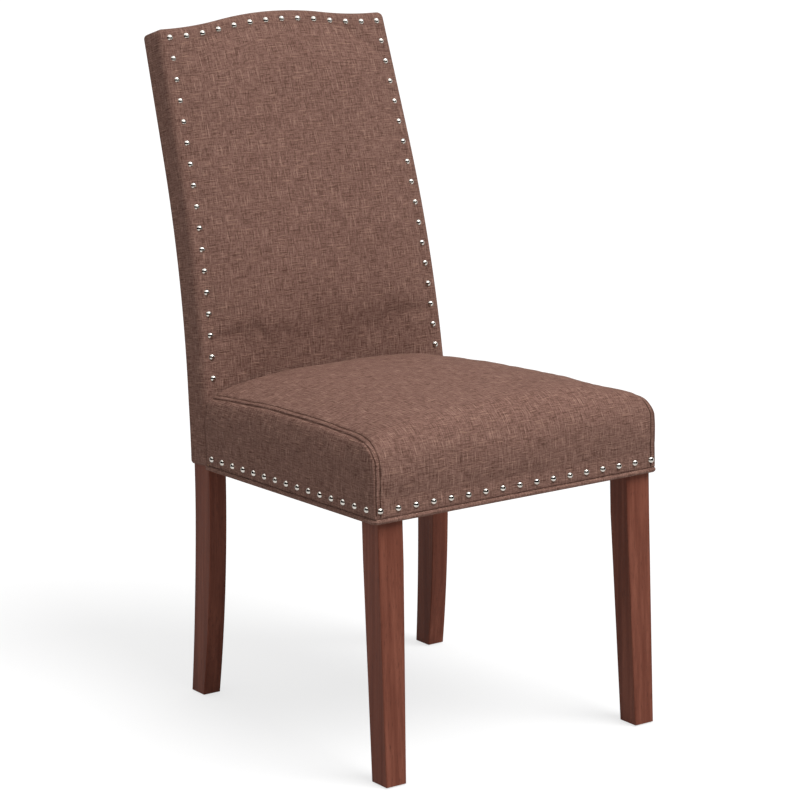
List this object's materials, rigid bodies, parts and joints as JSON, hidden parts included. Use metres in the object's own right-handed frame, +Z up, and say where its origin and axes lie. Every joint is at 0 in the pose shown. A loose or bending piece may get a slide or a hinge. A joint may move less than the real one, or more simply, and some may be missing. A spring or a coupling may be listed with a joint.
{
  "type": "upholstered dining chair",
  "caption": "High-back upholstered dining chair with a raised crest, crowned seat, nail trim, piped seat edge and tapered stained wooden legs.",
  "frame": {"origin": "middle of the chair's box, on the floor", "axes": "+Z up, -Y the way the chair faces, +X across, to the right of someone facing the chair"},
  "size_m": [0.5055, 0.6694, 1.0006],
  "materials": {
    "stained_wood": "walnut stain, semi-gloss lacquer",
    "frame_wood": "planed, bare",
    "woven_cloth": "brown two-tone plain weave",
    "foam": "open-cell foam",
    "wadding": "polyester wadding",
    "strap_webbing": "woven elastic webbing",
    "dust_cloth": "black non-woven cloth",
    "fibre_board": "hard fibre board",
    "nickel": "bright nickel plate",
    "steel": "zinc plated",
    "nylon": "brown nylon"
  },
  "bodies": {
    "root": {"back_board": "fibre_board", "back_cover_inside": "woven_cloth", "back_cover_outside": "woven_cloth", "back_foam": "foam", "back_frame_dowels": "frame_wood", "back_nails_left": "nickel", "back_nails_right": "nickel", "back_nails_top": "nickel", "back_rail_lower": "frame_wood", "back_rail_middle": "frame_wood", "back_straps": "strap_webbing", "corner_block_front_left": "frame_wood", "corner_block_front_right": "frame_wood", "corner_block_rear_left": "frame_wood", "corner_block_rear_right": "frame_wood", "corner_block_screws": "steel", "crest_rail": "frame_wood", "dust_cover": "dust_cloth", "dust_cover_staples": "steel", "floor_glide_front_left": "nylon", "floor_glide_front_right": "nylon", "floor_glide_rear_left": "nylon", "floor_glide_rear_right": "nylon", "front_leg_left": "stained_wood", "front_leg_right": "stained_wood", "leg_bolt_nuts": "steel", "leg_bolt_washers": "steel", "leg_bolts": "steel", "rear_post_left": "stained_wood", "rear_post_right": "stained_wood", "seat_cover_centre": "woven_cloth", "seat_cover_left": "woven_cloth", "seat_cover_right": "woven_cloth", "seat_foam": "foam", "seat_frame_dowels": "frame_wood", "seat_nails_front": "nickel", "seat_nails_left": "nickel", "seat_nails_right": "nickel", "seat_rail_front": "frame_wood", "seat_rail_left": "frame_wood", "seat_rail_rear": "frame_wood", "seat_rail_right": "frame_wood", "seat_straps_crosswise": "strap_webbing", "seat_straps_lengthwise": "strap_webbing", "seat_wadding": "wadding", "seat_welt": "woven_cloth"}
  },
  "joints": []
}
